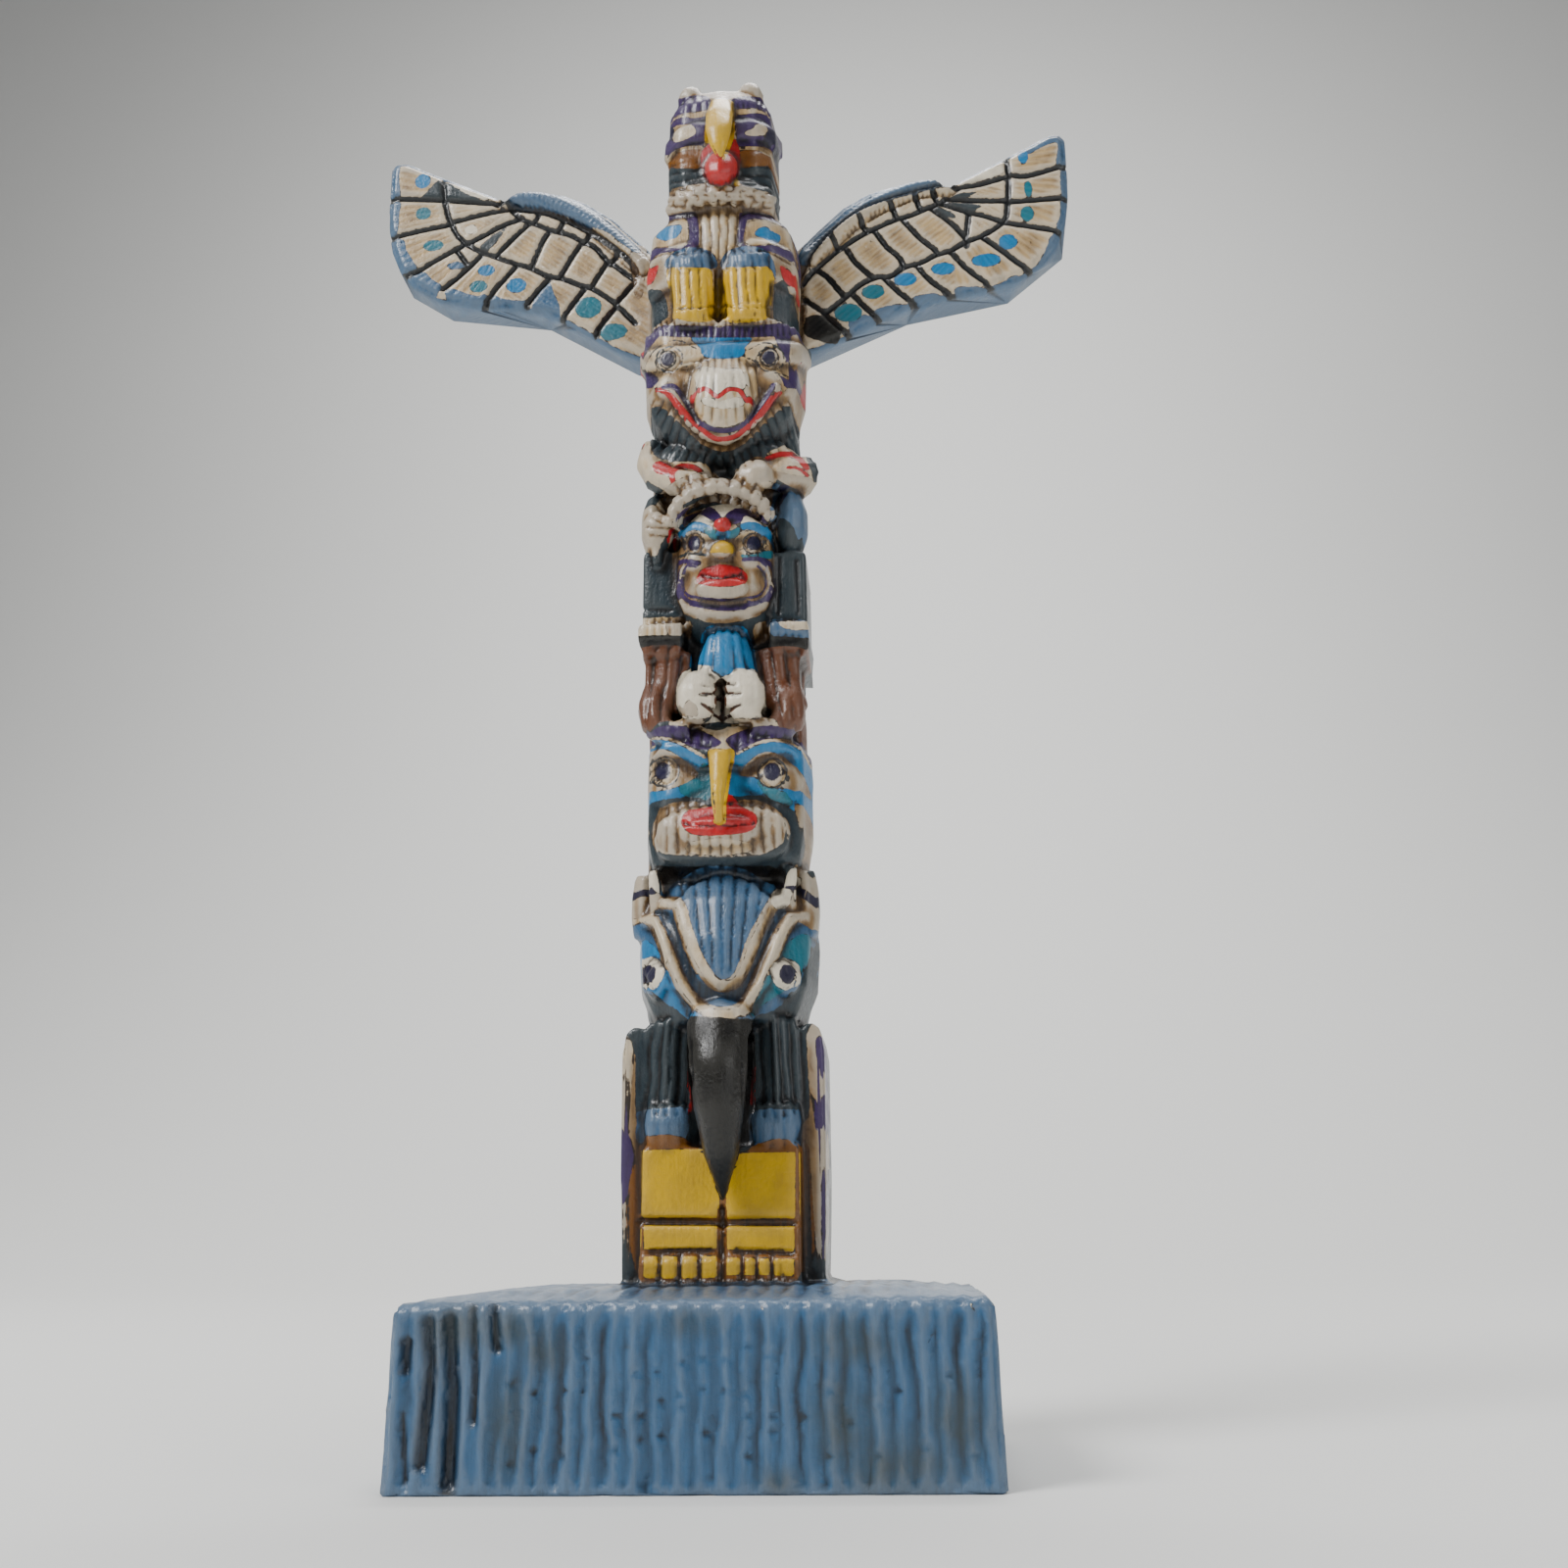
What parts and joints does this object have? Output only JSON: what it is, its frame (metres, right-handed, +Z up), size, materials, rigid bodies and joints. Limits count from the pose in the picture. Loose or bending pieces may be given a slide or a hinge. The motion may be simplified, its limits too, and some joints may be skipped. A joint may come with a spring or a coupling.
{
  "type": "miniature totem pole",
  "caption": "Small hand-painted cast-resin totem pole of stacked carved figures with spread wings, standing on a grooved rectangular block base.",
  "frame": {"origin": "middle of the base's underside, on the surface that the part stands on", "axes": "+X to the right of someone facing the figures, +Y away from them, +Z up"},
  "size_m": [0.134, 0.056, 0.2408],
  "materials": {
    "painted_resin": "Hand-painted cast resin, semi-gloss: slate blue base and wings, with cream, beige, red, yellow, purple, light blue, brown and black figures under a brown wash."
  },
  "bodies": {
    "root": {"totem_pole": "painted_resin"}
  },
  "joints": []
}
